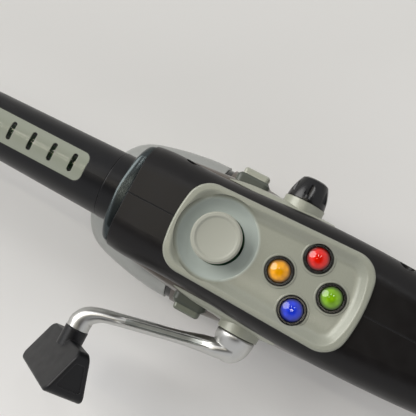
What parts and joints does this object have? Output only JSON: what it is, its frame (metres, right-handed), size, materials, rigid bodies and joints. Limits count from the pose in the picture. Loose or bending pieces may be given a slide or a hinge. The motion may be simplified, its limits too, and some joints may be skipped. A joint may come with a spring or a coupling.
{
  "type": "fishing rod game controller",
  "caption": "Hand-held game controller shaped like a short fishing rod, with a face plate of buttons and a thumbstick, a closed reel and a side crank.",
  "frame": {"origin": "middle of the flat end face of the grip, on the rod's own axis", "axes": "+X along the rod towards its tip, +Y to the crank side, +Z out of the face plate"},
  "size_m": [0.4246, 0.1173, 0.0772],
  "materials": {
    "black_shell": "satin",
    "taupe_paint": "satin",
    "inlay_plastic": "satin",
    "silver_paint": "satin",
    "ring_metal": "satin",
    "tube_black": "gloss",
    "smoked_lens": "gloss",
    "board_green": "satin",
    "rubber_black": "matt",
    "button_black": "gloss",
    "button_clear": "gloss",
    "core_yellow": "gloss",
    "core_red": "gloss",
    "core_green": "gloss",
    "core_blue": "gloss",
    "stick_rubber": "satin",
    "steel": "brushed",
    "brass": "satin",
    "gear_plastic": "satin",
    "crank_metal": "polished",
    "paddle_black": "satin",
    "cell_wrap": "gloss",
    "spring_steel": "polished"
  },
  "bodies": {
    "handset": {"left_shell": "black_shell", "right_shell": "black_shell", "left_lower": "taupe_paint", "right_lower": "taupe_paint", "left_inlay": "inlay_plastic", "right_inlay": "inlay_plastic", "left_flank_base": "button_black", "right_flank_base": "button_black", "front_ring": "silver_paint", "front_collar": "tube_black", "rod_tube": "tube_black", "tube_panel": "inlay_plastic", "light_lens": "smoked_lens", "light_board": "board_green", "tip_cap": "rubber_black", "butt_cap": "rubber_black", "face_plate": "inlay_plastic", "button_pad": "rubber_black", "main_board": "board_green", "stick_base": "steel", "left_bush": "brass", "right_bush": "brass", "turn_sensor": "button_black", "reel_front": "silver_paint", "reel_band": "button_black", "reel_rear": "taupe_paint", "rumble_motor": "steel", "battery_tray": "button_black", "front_cell": "cell_wrap", "rear_cell": "cell_wrap", "front_contact": "spring_steel", "leaf_contact": "spring_steel", "battery_door": "black_shell"},
    "button_front": {"button_ring_front": "button_black", "button_core_front": "core_yellow", "button_cap_front": "button_clear"},
    "button_right": {"button_ring_right": "button_black", "button_core_right": "core_red", "button_cap_right": "button_clear"},
    "button_rear": {"button_ring_rear": "button_black", "button_core_rear": "core_green", "button_cap_rear": "button_clear"},
    "button_left": {"button_ring_left": "button_black", "button_core_left": "core_blue", "button_cap_left": "button_clear"},
    "left_trigger": {"left_flank_button": "stick_rubber"},
    "right_trigger": {"right_flank_button": "stick_rubber"},
    "stick_ring": {"stick_yoke": "gear_plastic"},
    "stick": {"stick_stem": "gear_plastic", "stick_skirt": "button_black", "stick_cap": "stick_rubber"},
    "crank": {"crank_axle": "steel", "crank_arm": "crank_metal", "screw_cap": "paddle_black", "drive_gear": "gear_plastic", "paddle_pin": "steel"},
    "paddle_body": {"paddle": "paddle_black"},
    "sensor_shaft": {"sensor_gear": "gear_plastic"},
    "rumble": {"rumble_weight": "brass"}
  },
  "joints": [
    {"name": "press_front", "type": "slide", "parent": "handset", "child": "button_front", "axis": [0, 0, -1], "range_m": [0, 0.0008], "stiffness_N_per_m": 250, "springref_m": -0.0012},
    {"name": "press_right", "type": "slide", "parent": "handset", "child": "button_right", "axis": [0, 0, -1], "range_m": [0, 0.0008], "stiffness_N_per_m": 250, "springref_m": -0.0012},
    {"name": "press_rear", "type": "slide", "parent": "handset", "child": "button_rear", "axis": [0, 0, -1], "range_m": [0, 0.0008], "stiffness_N_per_m": 250, "springref_m": -0.0012},
    {"name": "press_left", "type": "slide", "parent": "handset", "child": "button_left", "axis": [0, 0, -1], "range_m": [0, 0.0008], "stiffness_N_per_m": 250, "springref_m": -0.0012},
    {"name": "press_left_flank", "type": "slide", "parent": "handset", "child": "left_trigger", "axis": [0, -1, 0], "range_m": [0, 0.0012], "stiffness_N_per_m": 300, "springref_m": -0.0012},
    {"name": "press_right_flank", "type": "slide", "parent": "handset", "child": "right_trigger", "axis": [0, 1, 0], "range_m": [0, 0.0012], "stiffness_N_per_m": 300, "springref_m": -0.0012},
    {"name": "stick_sideways", "type": "hinge", "parent": "handset", "child": "stick_ring", "pos_m": [0.1956, 0, 0.0045], "axis": [1, 0, 0], "range_deg": [-14, 14], "stiffness_Nm_per_rad": 0.05},
    {"name": "stick_fore_aft", "type": "hinge", "parent": "stick_ring", "child": "stick", "pos_m": [0.1956, 0, 0.0045], "axis": [0, 1, 0], "range_deg": [-14, 14], "stiffness_Nm_per_rad": 0.05},
    {"name": "crank_spin", "type": "hinge", "parent": "handset", "child": "crank", "pos_m": [0.175, 0, -0.011], "axis": [0, 1, 0], "continuous": true},
    {"name": "paddle_spin", "type": "hinge", "parent": "crank", "child": "paddle_body", "pos_m": [0.2314, 0.06, -0.011], "axis": [0, 1, 0], "continuous": true},
    {"name": "sensor_spin", "type": "hinge", "parent": "handset", "child": "sensor_shaft", "pos_m": [0.166, 0.008, -0.011], "axis": [0, 1, 0], "continuous": true},
    {"name": "rumble_spin", "type": "hinge", "parent": "handset", "child": "rumble", "pos_m": [0.189, 0, -0.0445], "axis": [1, 0, 0], "continuous": true}
  ],
  "couplings": [
    {"joint": "sensor_spin", "follows": "crank_spin", "ratio": -1.5714}
  ]
}
